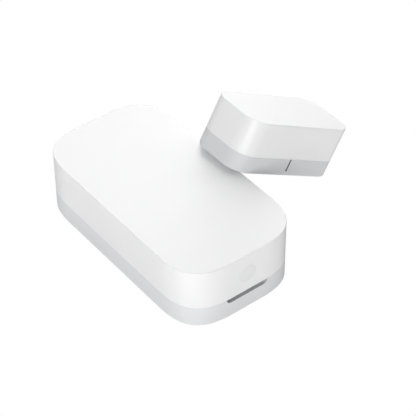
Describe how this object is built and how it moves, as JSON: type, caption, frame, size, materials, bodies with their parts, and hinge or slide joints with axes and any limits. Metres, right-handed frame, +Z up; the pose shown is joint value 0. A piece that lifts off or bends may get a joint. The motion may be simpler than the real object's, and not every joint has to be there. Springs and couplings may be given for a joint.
{
  "type": "door contact sensor",
  "caption": "Coin-cell door contact sensor in a two-shell rounded housing with end button and pry slot, with its smaller magnet unit leaning on the long edge.",
  "frame": {"origin": "centre of the sensor housing's footprint, on the face of its release liner", "axes": "+Z up out of the sensor's top, +X along its length towards the button end, +Y towards the magnet unit"},
  "size_m": [0.041, 0.0458, 0.0202],
  "materials": {
    "white_shell": "smooth satin white moulded plastic",
    "button_white": "smooth satin white moulded plastic",
    "grey_shell": "fine satin light grey moulded plastic",
    "foam_tape": "closed-cell foam tape",
    "liner_paper": "silicone-coated paper liner",
    "circuit_board": "green solder mask over glass epoxy",
    "black_epoxy": "moulded epoxy",
    "tinned_can": "tinned steel",
    "capacitor_ceramic": "fired ceramic",
    "gold_trace": "gold-plated copper",
    "led_resin": "milky clear resin",
    "black_nylon": "moulded nylon",
    "plunger_nylon": "natural nylon",
    "spring_steel": "bright rolled strip",
    "reed_glass": "clear greenish glass",
    "cell_steel": "drawn stainless steel",
    "gasket_nylon": "nylon gasket",
    "nickel_magnet": "nickel-plated neodymium iron boron"
  },
  "bodies": {
    "base": {"sensor_base": "grey_shell", "adhesive_pad": "foam_tape", "release_liner": "liner_paper"},
    "housing": {"sensor_cover": "white_shell", "main_pcb": "circuit_board", "radio_chip": "black_epoxy", "crystal": "tinned_can", "chip_capacitors": "capacitor_ceramic", "chip_resistors": "black_epoxy", "printed_antenna": "gold_trace", "status_led": "led_resin", "switch_housing": "black_nylon", "switch_frame": "tinned_can", "reed_glass": "reed_glass", "reed_fixed_blade": "spring_steel", "reed_lead": "spring_steel", "battery_holder": "black_nylon", "positive_contact": "spring_steel", "negative_contact": "spring_steel"},
    "battery": {"cell_can": "cell_steel", "cell_gasket": "gasket_nylon", "cell_cap": "cell_steel"},
    "button": {"button_cap": "button_white"},
    "switch_plunger": {"switch_plunger": "plunger_nylon", "switch_dome": "spring_steel"},
    "reed_blade": {"reed_moving_blade": "spring_steel"},
    "magnet_unit": {"magnet_cover": "white_shell", "magnet_base": "grey_shell", "bar_magnet": "nickel_magnet", "magnet_spacer": "foam_tape", "magnet_adhesive_pad": "foam_tape", "magnet_release_liner": "liner_paper"}
  },
  "joints": [
    {"name": "cover_release", "type": "slide", "parent": "base", "child": "housing", "axis": [0, 0, 1], "range_m": [0, 0.014]},
    {"name": "battery_release", "type": "slide", "parent": "housing", "child": "battery", "axis": [0, 0, -1], "range_m": [0, 0.0056]},
    {"name": "button_press", "type": "slide", "parent": "housing", "child": "button", "axis": [-1, 0, 0], "range_m": [0, 0.0003]},
    {"name": "switch_press", "type": "slide", "parent": "housing", "child": "switch_plunger", "axis": [-1, 0, 0], "range_m": [0, 0.0003]},
    {"name": "magnet_travel", "type": "slide", "parent": "housing", "child": "magnet_unit", "axis": [0, 1, 0], "range_m": [0, 0.03]},
    {"name": "reed_open", "type": "hinge", "parent": "housing", "child": "reed_blade", "pos_m": [-0.0114, 0.0075, 0.00751], "axis": [0, -1, 0], "range_deg": [0, 0.5]}
  ],
  "couplings": [
    {"joint": "battery_release", "follows": "cover_release", "ratio": 0.4},
    {"joint": "switch_press", "follows": "button_press", "ratio": 1},
    {"joint": "reed_open", "follows": "magnet_travel", "rad_per_m": 0.2906}
  ]
}
